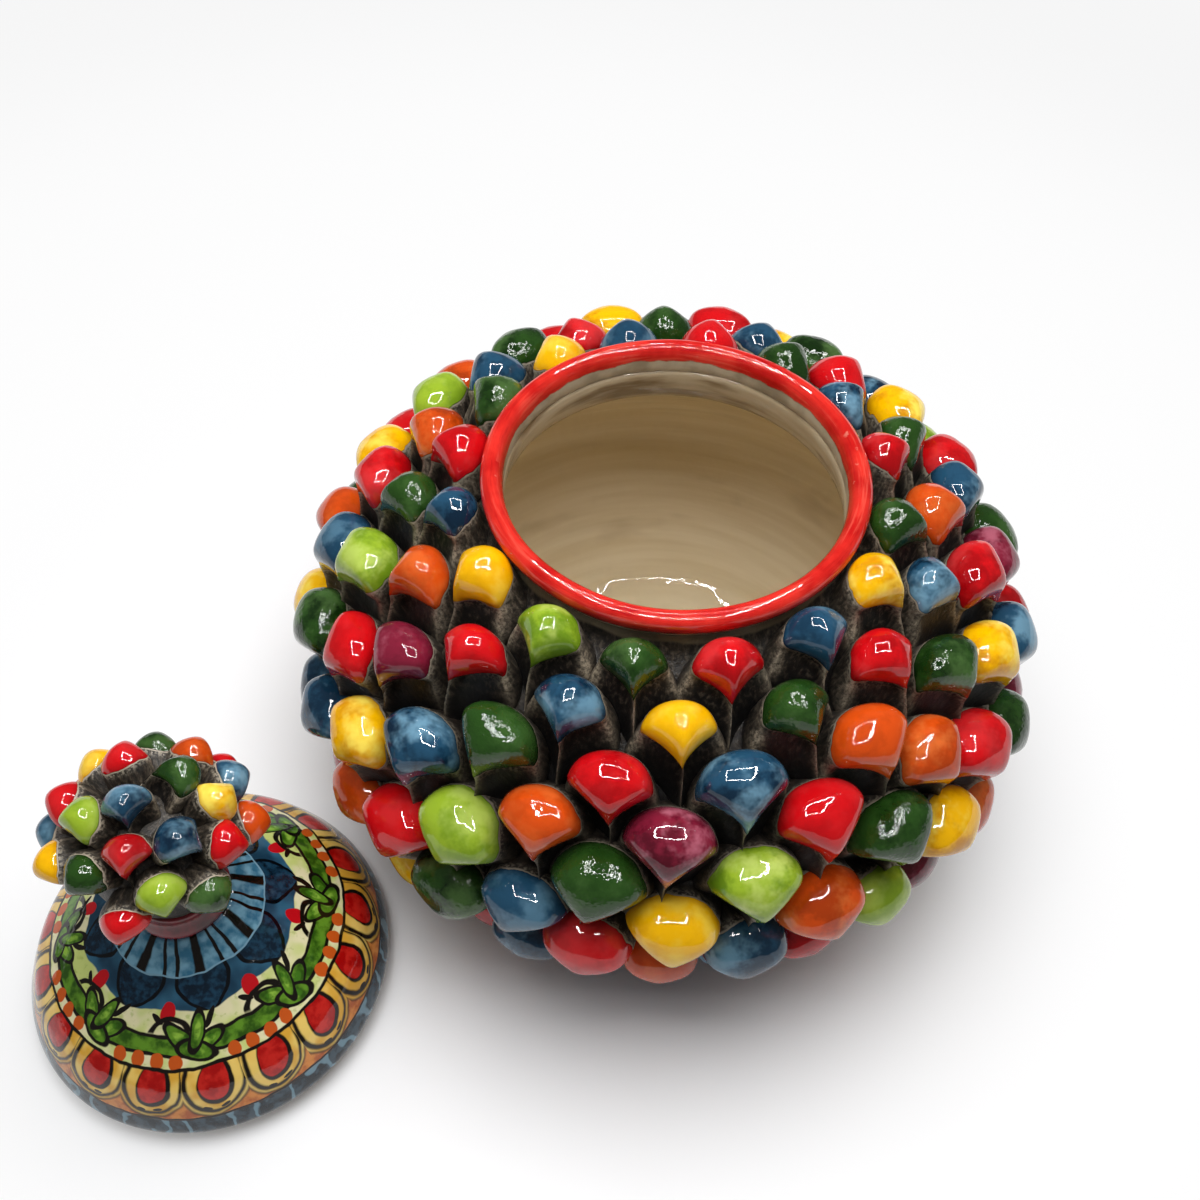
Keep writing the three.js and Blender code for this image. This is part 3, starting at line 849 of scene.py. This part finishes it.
def make_jar_finish():
    """Cream glaze inside with throwing rings, and dark dry-brushed clay outside under the neck, with painted
    shade among the scales.
    """
    material, w, shader = start_material("thrown_wall")
    place = w.object_place()
    z = w.parts(place)[2]
    inside = w.attribute("inside")
    # Painted shade on the wall among the scales, fading out towards the neck and at the foot
    shade_among_scales = w.times(w.rise(z, NECK_Z, SHOULDER_Z), w.rise(z, 0.015, 0.04))
    clay = w.use(
        CLAY,
        place=place,
        stroke=w.stretch(place, (110, 110, 40)),
        proud=0.5,
        depth=w.times(shade_among_scales, 0.8),
        # Pale dust, partly painted light, from the shoulder up to the neck
        dusting=w.times(w.rise(z, SHOULDER_Z, NECK_Z), 0.45),
    )
    rings = w.noise(w.stretch(place, (10, 10, 170)), 1.0, 3, roughness=0.55)
    smudge = w.noise(w.stretch(place, (22, 22, 75)), 1.0, 3)
    stain = w.noise(place, 34, 4)
    cream = w.patches(rings, 0.35, 0.7, 0xDDCBA6, 0xE9DABA)
    cream = w.mix(w.times(w.rise(smudge, 0.56, 0.74), 0.35), cream, paint(0xA8906C))
    cream = w.mix(w.times(w.rise(stain, 0.6, 0.74), 0.25), cream, paint(0x947E5C))
    smears = w.noise(w.stretch(place, (24, 24, 150)), 1.0, 4, 3.0)
    neck_shade = w.times(w.rise(z, 0.09, 0.124), w.add(0.55, w.times(w.rise(smears, 0.48, 0.66), 0.8)))
    cream = w.mix(w.times(neck_shade, 0.7), cream, paint(0x745A36))
    ragged = w.times(w.less(w.noise(place, 90, 3), 0.5), 0.004)
    neck = w.rise(w.add(z, ragged), 0.1358, 0.1372)
    outside = w.mix(neck, clay["Color"], w.patches(stain, 0.4, 0.65, 0xA1937B, 0x75684F))
    thrown = w.add(w.times(rings, 0.8), w.times(w.noise(place, 170, 2), 0.45))
    roughness = w.blend(inside, clay["Roughness"], 0.035)
    height = w.blend(inside, clay["Height"], thrown)
    finish_surface(w, shader, w.mix(inside, outside, cream), roughness, height, 0.0006)
    return material


WALL_NODES = ["jar_floor", "jar_foot_wall", "jar_lower_belly", "jar_upper_belly", "jar_shoulder"]


def make_jar_wall():
    """The thrown pot in one, with its inside corner rounded, and each point marked inside or not."""
    corner_top = 25
    neck_start = NECK_TOP - 9
    inner = [point for point in offset_line(WALL_LINE, -WALL) if corner_top < point.y < neck_start]
    outline = [
        (POLE, 0), (40, 0), (62, 0), *WALL_LINE,
        (BORE_RADIUS + 0.6, NECK_TOP + 1.5), (BORE_RADIUS + 0.5, NECK_TOP - 3), *reversed(inner),
        (66.5, 21), (59, 16.6), (48, 12.4), (34, 9.4), (18, 8.1), (POLE, 8),
    ]
    bm = turn_shape(outline, TURNED_STEPS)
    inside = bm.verts.layers.float.new("inside")
    half_floor = 4
    for vert in bm.verts:
        radius = math.hypot(vert.co.x, vert.co.y)
        height = vert.co.z
        within = radius < wall_radius_at(height) - WALL / 2
        vert[inside] = 1.0 if within and height > half_floor else 0.0
    make_piece("thrown_wall", bm, [make_jar_finish()], "jar", WALL_NODES, 1)


def make_rim_finish():
    """Bright red glaze brushed round the rolled rim, worn pale in small spots, and cream below it."""
    material, w, shader = start_material("red_rim")
    place = w.object_place()
    x, y, z = w.parts(place)
    radius = w.away(x, y)
    ragged = w.times(w.less(w.noise(place, 120, 4), 0.5), 0.0035)
    red_outside = w.rise(w.add(z, ragged), 0.1422, 0.1428)
    red_inside = w.rise(w.add(z, ragged), 0.1442, 0.1448)
    is_outside = w.rise(radius, 0.0555, 0.0565)
    red = w.blend(is_outside, red_inside, red_outside)
    cloud = w.noise(place, 85, 3)
    unrolled = w.join(w.times(w.math("ARCTAN2", y, x), 1.6), w.times(radius, 420), w.times(z, 420))
    strokes = w.noise(unrolled, 1.6, 4, roughness=0.6)
    colour = w.patches(cloud, 0.3, 0.65, 0xB81210, 0xD92E24)
    colour = w.mix(w.times(w.rise(strokes, 0.5, 0.66), 0.45), colour, paint(0xE8604E))
    colour = w.mix(w.times(w.rise(strokes, 0.46, 0.34), 0.4), colour, paint(0x9C0A0C))
    worn = w.times(w.rise(w.noise(place, 210, 3, 5.0), 0.68, 0.74), 0.5)
    colour = w.mix(worn, colour, paint(0xE0907C))
    cream = w.patches(cloud, 0.35, 0.6, 0x9C8E76, 0xC4B79E)
    height = w.add(w.add(w.noise(place, 150, 2), w.times(strokes, 0.5)), w.times(red, 0.8))
    finish_surface(w, shader, w.mix(red, cream, colour), w.blend(red, 0.3, 0.045), height, 0.00018)
    return material


def make_rim():
    bottom = JAR_HEIGHT - RIM_DEPTH
    outline = [
        (BORE_RADIUS + 0.3, bottom - 0.8), (RIM_RADIUS - 3, bottom - 0.4),
        (RIM_RADIUS - 1.2, JAR_HEIGHT - 7.6), (RIM_RADIUS + 0.5, JAR_HEIGHT - 4.6),
        (RIM_RADIUS + 0.1, JAR_HEIGHT - 1.8), (RIM_RADIUS - 2.4, JAR_HEIGHT - 0.2),
        (RIM_RADIUS - 4.4, JAR_HEIGHT - 0.4), (BORE_RADIUS + 1.4, JAR_HEIGHT - 2.2),
        (BORE_RADIUS + 0.6, JAR_HEIGHT - 5),
    ]
    bm = turn_shape(outline, TURNED_STEPS, wobble=0.35, seed=3.0)
    make_piece("rolled_rim", bm, [make_rim_finish()], "jar", ["rim_collar"], 2)


# The lid

class Brush:
    """Where each point of the painted dome lies, uneven as a hand's strokes, and the strokes themselves."""

    def __init__(self, w):
        self.w = w
        centre = w.node("Mapping")
        w.feed(centre.inputs["Vector"], w.object_place())
        centre.inputs["Location"].default_value = tuple(-LID_PLACE * MM)
        self.place = centre.outputs["Vector"]
        x, y, self.height = w.parts(w.stretch(self.place, (1 / MM, 1 / MM, 1 / MM)))
        sway = 2.4
        self.hand_x = w.times(w.less(w.noise(self.place, 110, 2), 0.5), sway)
        hand_y = w.times(w.less(w.noise(self.place, 110, 2, 9.0), 0.5), sway)
        on_side = w.rise(self.height, LID_SHOULDER.y + 0.1, LID_SHOULDER.y - 0.1)
        beside = w.add(LID_SHOULDER.x, w.times(w.less(LID_SHOULDER.y, self.height), 1.1))
        self.down = w.add(w.blend(on_side, w.away(x, y), beside), hand_y)
        self.angle = w.math("ARCTAN2", y, x)
        self.streaks = w.noise(self.place, 240, 3, 2.0)
        self.grain = w.noise(self.place, 420, 3, 4.0)
        self.cloud = w.noise(self.place, 90, 2, 6.0)
        self.black = paint(0x15100B)

    def sector(self, count, circle, shift=0.0, lean=0.0):
        """Millimetres sideways from the middle of each of `count` equal sectors, at a radius."""
        w = self.w
        turns = w.add(w.times(self.angle, count / TURN), shift)
        centred = w.less(w.math("FRACT", turns), 0.5)
        across = w.add(w.times(centred, TURN * circle / count), self.hand_x)
        return w.add(across, w.times(w.less(self.down, circle), lean))

    def sheet(self, *sector):
        """Points of a sector laid flat: millimetres sideways and outwards."""
        return self.w.join(self.sector(*sector), self.down)

    def oval(self, sheet, middle, half, turn=0.0):
        """Distance from the middle of an oval, counted so that it is 1 on its outline."""
        made = self.w.node("Mapping", vector_type="TEXTURE")
        self.w.feed(made.inputs["Vector"], sheet)
        made.inputs["Location"].default_value = (*middle, 0)
        made.inputs["Rotation"].default_value = (0, 0, math.radians(turn))
        made.inputs["Scale"].default_value = (*half, 1)
        length = self.w.node("VectorMath", operation="LENGTH")
        self.w.feed(length.inputs[0], made.outputs["Vector"])
        return length.outputs["Value"]

    def line(self, value, thick):
        """1 where a value is within half the thickness of 0."""
        return self.w.rise(self.w.size(value), thick * 0.62, thick * 0.38)

    def dab(self, colour, value, fill):
        """Lays an oval of paint over a colour."""
        return self.w.mix(self.w.rise(value, 1.05, 0.95), colour, fill)


def paint_bars(w, brush):
    """A steel-blue ring with black bars."""
    colour = w.patches(brush.streaks, 0.35, 0.65, 0x3A7594, 0x7FB2CA)
    bars = brush.sector(PETALS, 20, 0.0, 0.12)
    colour = w.mix(brush.line(bars, 3.0), colour, brush.black)
    pairs = brush.sector(PETALS, 20, 0.5)
    return w.mix(brush.line(w.less(w.size(pairs), 1.7), 1.1), colour, brush.black)


def paint_petals(w, brush, colour):
    """Navy petals, their points outwards, then a cream field with a red bud in each valley."""
    petal = brush.sector(PETALS, 29)
    navy = w.patches(brush.cloud, 0.38, 0.62, 0x1A3A50, 0x346480)
    petal_edge = w.less(w.size(petal), w.times(w.math("POWER", w.rise(brush.down, 35.0, 25.5), 0.6), 9.0))
    deep_navy = w.patches(brush.grain, 0.4, 0.65, 0x0A1E2E, 0x1C4058)
    navy = w.mix(w.rise(petal_edge, 0.3, -0.3), navy, deep_navy)
    navy = w.mix(brush.line(petal_edge, 1.4), navy, paint(0x05090F))
    colour = w.mix(w.rise(brush.down, BARS_END, BARS_END + 0.4), colour, navy)
    colour = w.mix(brush.line(w.less(brush.down, BARS_END), 0.45), colour, paint(0x7FA9BF))

    field = w.patches(brush.cloud, 0.42, 0.6, 0xE6DFB4, 0xC7D37C)
    field = w.mix(w.times(w.rise(brush.grain, 0.56, 0.68), 0.5), field, paint(0x9DB04C))
    bulge = w.times(w.rise(w.size(petal), 9.0, 0.0), 1.4)
    colour = w.mix(w.rise(w.less(brush.down, bulge), PETALS_END, PETALS_END + 0.4), colour, field)
    bud = brush.oval(brush.sheet(PETALS, 33, 0.5), (0, 33.2), (2.3, 2.9), 20)
    return brush.dab(colour, bud, paint(0xC0101A))


def paint_ribbon(w, brush, colour):
    """A green ribbon, with tendrils and leaves that curl off it."""
    green = w.patches(brush.streaks, 0.38, 0.62, 0x2B4F0E, 0x5F8E26)
    ribbon = w.size(w.less(brush.down, RIBBON_MIDDLE))
    colour = w.mix(w.rise(ribbon, 3.0, 2.7), colour, brush.black)
    colour = w.mix(w.rise(ribbon, 2.1, 1.8), colour, green)
    sheet = brush.sheet(PETALS, 40, 0.25)
    tendril = brush.line(w.less(brush.oval(sheet, (-7.5, 38.5), (6.0, 3.4), -12), 1.0), 0.36)
    colour = w.mix(w.times(tendril, w.rise(brush.down, 39.2, 38.2)), colour, brush.black)
    colour = brush.dab(colour, brush.oval(sheet, (6.6, 35.6), (3.4, 0.95), -48), brush.black)
    colour = brush.dab(colour, brush.oval(sheet, (-11.5, 35.2), (2.4, 0.8), 30), brush.black)
    bright = w.patches(brush.streaks, 0.42, 0.6, 0x3E7018, 0x90BA42)
    for middle, half, turn in (
        ((4.6, 41.0), (4.6, 1.8), -22),
        ((-4.2, 39.4), (4.6, 2.0), 32),
        ((0.4, 43.0), (4.8, 2.1), 18),
        ((1.6, 38.4), (4.8, 1.9), -66),
    ):
        blade = brush.oval(sheet, middle, half, turn)
        colour = w.mix(w.rise(blade, 1.36, 1.26), colour, brush.black)
        colour = w.mix(w.rise(blade, 1.0, 0.9), colour, green)
        colour = w.mix(w.rise(blade, 0.62, 0.4), colour, bright)
    return colour


def paint_dots(w, brush, colour):
    """Orange dots in groups of four, with room for two more between each two groups."""
    dots = brush.oval(brush.sheet(DOTS, 45.6), (0, 45.4), (2.1, 1.9))
    dot_number = w.math("FLOOR", w.times(brush.angle, DOTS / TURN))
    group_turns = w.less(w.math("FRACT", w.add(w.times(dot_number, PETALS / DOTS), 0.3)), 0.5)
    kept = w.rise(w.size(group_turns), 0.14, 0.16)
    return w.mix(w.times(w.rise(dots, 1.08, 0.95), kept), colour, paint(0xC4551A))


def paint_lobes(w, brush, colour):
    """Yellow lobes down the side, each with a red heart."""
    sheet = brush.sheet(LOBES, 54, 0.0, 0.14)
    lobes = w.patches(brush.streaks, 0.35, 0.6, 0xB0561E, 0xD98A3C)
    yellow = w.patches(brush.cloud, 0.42, 0.6, 0xDBA63A, 0xEDCB6C)
    red = w.patches(brush.streaks, 0.4, 0.62, 0xA40A08, 0xC6241C)
    for middle, half, turn, fill in (
        ((0, 51), (11.6, 13.6), 0, brush.black),
        ((0, 51), (11.0, 12.8), 0, yellow),
        ((0, 51), (10.2, 12.2), 0, brush.black),
        ((0.3, 50.8), (8.8, 10.9), 0, yellow),
        ((0.5, 52.6), (5.9, 7.1), 0, brush.black),
        ((0, 52.1), (4.8, 5.9), 0, red),
        ((2.8, 60.6), (1.5, 0.6), -20, brush.black),
        ((-2.4, 61.0), (1.5, 0.6), 20, brush.black),
    ):
        lobes = brush.dab(lobes, brush.oval(sheet, middle, half, turn), fill)
    colour = w.mix(w.rise(brush.down, LOBES_START + 0.2, LOBES_START + 0.5), colour, lobes)
    return w.mix(brush.line(w.less(brush.down, LOBES_START), 1.1), colour, brush.black)


def paint_edge(w, brush, colour):
    """A slate edge with lighter curls, and bare clay at the foot."""
    edge = w.patches(brush.streaks, 0.42, 0.6, 0x1A242C, 0x3A4C58)
    curls = w.math("SINE", w.add(w.times(brush.angle, EDGE_CURLS), w.times(brush.cloud, 14)))
    edge = w.mix(w.times(w.rise(curls, 0.7, 0.97), 0.7), edge, paint(0x7FA3B4))
    colour = w.mix(w.rise(brush.down, LOBES_END, LOBES_END + 0.6), colour, edge)
    colour = w.mix(brush.line(w.less(brush.down, LOBES_END), 0.8), colour, brush.black)
    return w.mix(w.rise(brush.height, 5.6, 5.2), colour, paint(0xB5A78F))


def make_lid_finish():
    """The dome's glazed brushwork, band by band from the collar to the foot."""
    material, w, shader = start_material("painted_dome")
    brush = Brush(w)
    colour = paint_bars(w, brush)
    for paint_band in (paint_petals, paint_ribbon, paint_dots, paint_lobes, paint_edge):
        colour = paint_band(w, brush, colour)
    height = w.add(w.noise(brush.place, 130, 3), w.times(brush.grain, 0.1))
    finish_surface(w, shader, colour, 0.08, height, 0.0004)
    return material


def make_lid_dome():
    """The dome and its thin wall, painted inside as well as out, and bare only at its foot."""
    side = [
        (LID_RADIUS - 3, 5), (LID_RADIUS - 0.7, 6.6), (LID_RADIUS - 0.2, 9.5), (LID_RADIUS - 3.3, 17.5),
        (53, 25), (48.6, 29.6),
    ]
    crown = [(47, 30.9), (42, 34.8), (34, 40.5), (24, 46.4), (17, 53), (COLLAR_RADIUS, DOME_HEIGHT)]
    outside = [*smooth_line(side, 2), *smooth_line(crown, 2)]
    wall = 5
    inner = [point for point in offset_line(outside, -wall) if point.x < FLANGE_RADIUS - 1 and point.y > 13]
    outline = [
        (FLANGE_RADIUS + 0.5, 5), *outside, (8, DOME_HEIGHT), (POLE, DOME_HEIGHT),
        (POLE, DOME_HEIGHT - wall), *reversed(inner), (FLANGE_RADIUS + 0.5, 12),
    ]
    bm = turn_shape(outline, TURNED_STEPS, LID_PLACE, wobble=0.15, seed=8.0)
    make_piece("painted_dome", bm, [make_lid_finish()], "lid", ["lid_dome"], 2)


def make_bare_finish():
    material, w, shader = start_material("bare_clay")
    place = w.object_place()
    grain = w.noise(place, 600, 3)
    cloud = w.noise(place, 60, 3)
    colour = w.patches(cloud, 0.35, 0.65, 0xA3937A, 0xC4B59B)
    colour = w.mix(w.times(w.rise(grain, 0.58, 0.7), 0.4), colour, paint(0x7A6A54))
    finish_surface(w, shader, colour, 0.75, grain, 0.0003)
    return material


def make_lid_flange():
    outline = [
        (46.7, 0.8), (47.5, 0), (49.5, 0), (FLANGE_RADIUS, 1),
        (FLANGE_RADIUS, 9.2), (49.7, 10), (47.3, 10), (46.5, 9.2),
    ]
    bm = turn_shape(outline, TURNED_STEPS, LID_PLACE, wobble=0.2, seed=5.0)
    make_piece("fitting_ring", bm, [make_bare_finish()], "lid", ["lid_flange"], 1)


def make_collar_finish():
    material, w, shader = start_material("dark_red_collar")
    place = w.object_place()
    cloud = w.noise(place, 140, 3)
    colour = w.patches(cloud, 0.35, 0.65, 0x470A0F, 0x861A26)
    finish_surface(w, shader, colour, 0.1, cloud, 0.0003)
    return material


def make_knob_collar():
    """The collar, which sinks a little into the dome so that no gap shows under it."""
    bottom = DOME_HEIGHT - 0.7
    side = [
        (COLLAR_RADIUS - 0.5, bottom + 0.2), (COLLAR_RADIUS + 0.2, 56.2),
        (COLLAR_RADIUS - 1.5, 60), (COLLAR_RADIUS - 1.8, COLLAR_TOP),
    ]
    outline = [(POLE, bottom), (10, bottom), *smooth_line(side, 2), (10, COLLAR_TOP), (POLE, COLLAR_TOP)]
    bm = turn_shape(outline, 48, LID_PLACE, wobble=0.2, seed=2.0)
    make_piece("turned_collar", bm, [make_collar_finish()], "lid", ["knob_collar"], 2)


def make_core_finish():
    material, w, shader = start_material("knob_clay")
    place = w.object_place()
    stroke = w.stretch(place, (170, 170, 60))
    # Painted shade darkens the ball a little all over, and its pale dust is partly painted light
    clay = w.use(CLAY, place=place, stroke=stroke, proud=0.5, depth=0.25, dusting=0.35)
    finish_surface(w, shader, clay["Color"], clay["Roughness"], clay["Height"], 0.0006)
    return material


def make_knob_core():
    """The ball that the knob's scales stand on. Its foot sinks a little into the collar."""
    foot = COLLAR_TOP - 0.8
    side = [(13.2, foot), (13.6, 66.5), (17, 73), (20.5, 83), (19.5, 95), (12.5, 103.2), (5, 106.2)]
    bm = turn_shape([(POLE, foot), *smooth_line(side, 2), (POLE, 106.5)], 32, LID_PLACE, wobble=0.3, seed=6.0)
    make_piece("knob_ball", bm, [make_core_finish()], "lid", ["knob_core"], 2)


def make_knob_scales():
    """The knob's scales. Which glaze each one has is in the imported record."""
    slot_of = {part["node"]: part["material_slot"] for part in frame["record"]["subparts"]}
    kind_of = {glaze.slot: kind for kind, glaze in GLAZES.items() if kind != "M"}
    finishes = {}
    chance = random.Random(KNOB_SEED)
    for number, angles in enumerate(KNOB_SCALES, 1):
        around, above, keel = [math.radians(angle) for angle in angles]
        node = f"knob_scale_{number:02d}"
        slot = slot_of[node]
        if slot not in finishes:
            glaze = GLAZES[kind_of[slot]]
            dusting = (KNOB_DUSTING_AND_LIGHT, KNOB_DUSTING_AND_LIGHT)
            finishes[slot] = make_scale_finish(f"knob_{slot}", glaze, margin=0.08, dusting=dusting, line=0.9)
        size = chance.uniform(*KNOB_SIZE_RANGE)
        cap = Cap(KNOB_HALF_WIDTH * size, KNOB_HALF_HEIGHT * size)
        radius = KNOB_CAP_RADIUS * math.cos(above)
        height = KNOB_CENTRE + KNOB_CAP_RADIUS * math.sin(above)
        place = Matrix.Translation(LID_PLACE) @ scale_place(around, above, radius, height, keel)
        bm = start_scales()
        pinch_scale(bm, KNOB_RINGS, cap, KNOB_STEM, KNOB_ROOT_SLOPE, place, draw_hand(chance), 0)
        make_piece(f"pinched_knob_{number:02d}", bm, [finishes[slot]], "lid", [node], 2)


# The studio

def make_camera():
    camera = bpy.data.objects.new("camera", bpy.data.cameras.new("camera"))
    bpy.context.scene.collection.objects.link(camera)
    camera.data.sensor_width = SENSOR_WIDTH
    camera.data.lens = CAMERA_LENS
    camera.data.clip_start = 0.01
    camera.data.clip_end = 50
    look = Matrix.Rotation(math.pi / 2 - CAMERA_LOOKS_DOWN, 4, "X") @ Matrix.Rotation(CAMERA_ROLL, 4, "Z")
    camera.matrix_world = Matrix.Translation(CAMERA_PLACE) @ look
    bpy.context.scene.camera = camera


def make_floor_finish():
    """Pale, and white by itself where it is well away from the jar and the lid."""
    material, w, shader = start_material("pale_floor")
    shader.inputs["Base Color"].default_value = (0.94, 0.94, 0.95, 1)
    shader.inputs["Roughness"].default_value = 0.6
    x, y = w.parts(w.object_place())[:2]
    distance = w.away(w.add(x, 0.05), w.add(y, 0.03))
    # How much the floor glows white by itself, which is painted light: none near the jar and the lid, where
    # only the real light and shadow show, rising further out, dipping a little from 0.42 to 0.62 metres,
    # which paints a faint grey band, and full far away
    share = w.less(w.times(w.rise(distance, 0.1, 0.29), 0.85), w.times(w.rise(distance, 0.42, 0.62), 0.1))
    share = w.add(share, w.times(w.rise(distance, 0.62, 1.1), 0.25))
    glow = w.node("Emission")
    glow.inputs["Color"].default_value = (1, 1, 1, 1)
    path = w.node("LightPath")
    seen = w.math("ADD", path.outputs["Is Camera Ray"], path.outputs["Is Glossy Ray"], clamp=True)
    seen = w.math("ADD", seen, path.outputs["Is Transmission Ray"], clamp=True)
    both = w.node("MixShader")
    w.feed(both.inputs[0], w.times(seen, share))
    w.feed(both.inputs[1], shader.outputs[0])
    w.feed(both.inputs[2], glow.outputs[0])
    w.feed(material.node_tree.nodes["Material Output"].inputs["Surface"], both.outputs[0])
    return material


def make_floor():
    """A plain floor just under the jar's and the lid's feet."""
    bm = bmesh.new()
    bmesh.ops.create_grid(bm, x_segments=1, y_segments=1, size=4)
    floor = link_mesh("floor", bm, [make_floor_finish()])
    floor.location.z = -0.0002


def make_world():
    """A white room, which lights the scene much less than it shows."""
    light_share = 0.12
    world = bpy.data.worlds.new("white_room")
    bpy.context.scene.world = world
    world.use_nodes = True
    w = Wiring(world.node_tree)
    background = world.node_tree.nodes["Background"]
    background.inputs["Color"].default_value = (1, 1, 1, 1)
    path = w.node("LightPath")
    w.feed(background.inputs["Strength"], w.blend(path.outputs["Is Camera Ray"], light_share, 1.0))


# Lamps, in metres and watts. The frame of dots is measured from its centre to the middle of a side.
WIDE_LAMP_SIZE = 1.4
WIDE_LAMP_POWER = 15
WIDE_LAMP_PLACE = (-0.1, 0.15, 1.3)
NEAR_LAMP_SIZE = 0.38
NEAR_LAMP_POWER = 1.6
NEAR_LAMP_PLACE = Vector((0.0, -0.02, 0.56))
FRAME_HALF = 0.17
FRAME_BELOW_LAMP = 0.005
DOTS_PER_SIDE = 20
DOT_SHARE = 0.35
DOT_STRENGTH = 130


def hang_lamp(name, size, energy, place):
    """A soft square lamp that shines straight down and doesn't show in what is glossy."""
    light = bpy.data.lights.new(name, "AREA")
    light.shape = "SQUARE"
    light.size = size
    light.energy = energy
    lamp = bpy.data.objects.new(name, light)
    lamp.location = place
    lamp.visible_glossy = False
    bpy.context.scene.collection.objects.link(lamp)


def make_dot_frame():
    """A square frame of bright dots round the near lamp, which shows only in what is glossy."""
    pitch = 2 * FRAME_HALF / DOTS_PER_SIDE
    bm = bmesh.new()
    for quarter in range(4):
        corner = Matrix.Rotation(quarter * TURN / 4, 4, "Z")
        for k in range(DOTS_PER_SIDE):
            spot = corner @ Matrix.Translation(((k + 0.5) * pitch - FRAME_HALF, FRAME_HALF, 0))
            bmesh.ops.create_grid(bm, x_segments=1, y_segments=1, size=pitch * DOT_SHARE, matrix=spot)
    bmesh.ops.translate(bm, verts=bm.verts, vec=NEAR_LAMP_PLACE - Vector((0, 0, FRAME_BELOW_LAMP)))
    material, w = start_material("lamp_dots")[:2]
    glow = w.node("Emission")
    glow.inputs["Strength"].default_value = DOT_STRENGTH
    w.feed(material.node_tree.nodes["Material Output"].inputs["Surface"], glow.outputs[0])
    dots = link_mesh("dot_frame", bm, [material])
    dots.visible_camera = False
    dots.visible_diffuse = False
    dots.visible_shadow = False


bpy.context.scene.view_settings.view_transform = "Standard"
make_camera()
make_jar_wall()
make_rim()
make_scale_rows()
make_lid_dome()
make_lid_flange()
make_knob_collar()
make_knob_core()
make_knob_scales()
make_floor()
make_world()
hang_lamp("wide_lamp", WIDE_LAMP_SIZE, WIDE_LAMP_POWER, WIDE_LAMP_PLACE)
hang_lamp("near_lamp", NEAR_LAMP_SIZE, NEAR_LAMP_POWER, NEAR_LAMP_PLACE)
make_dot_frame()
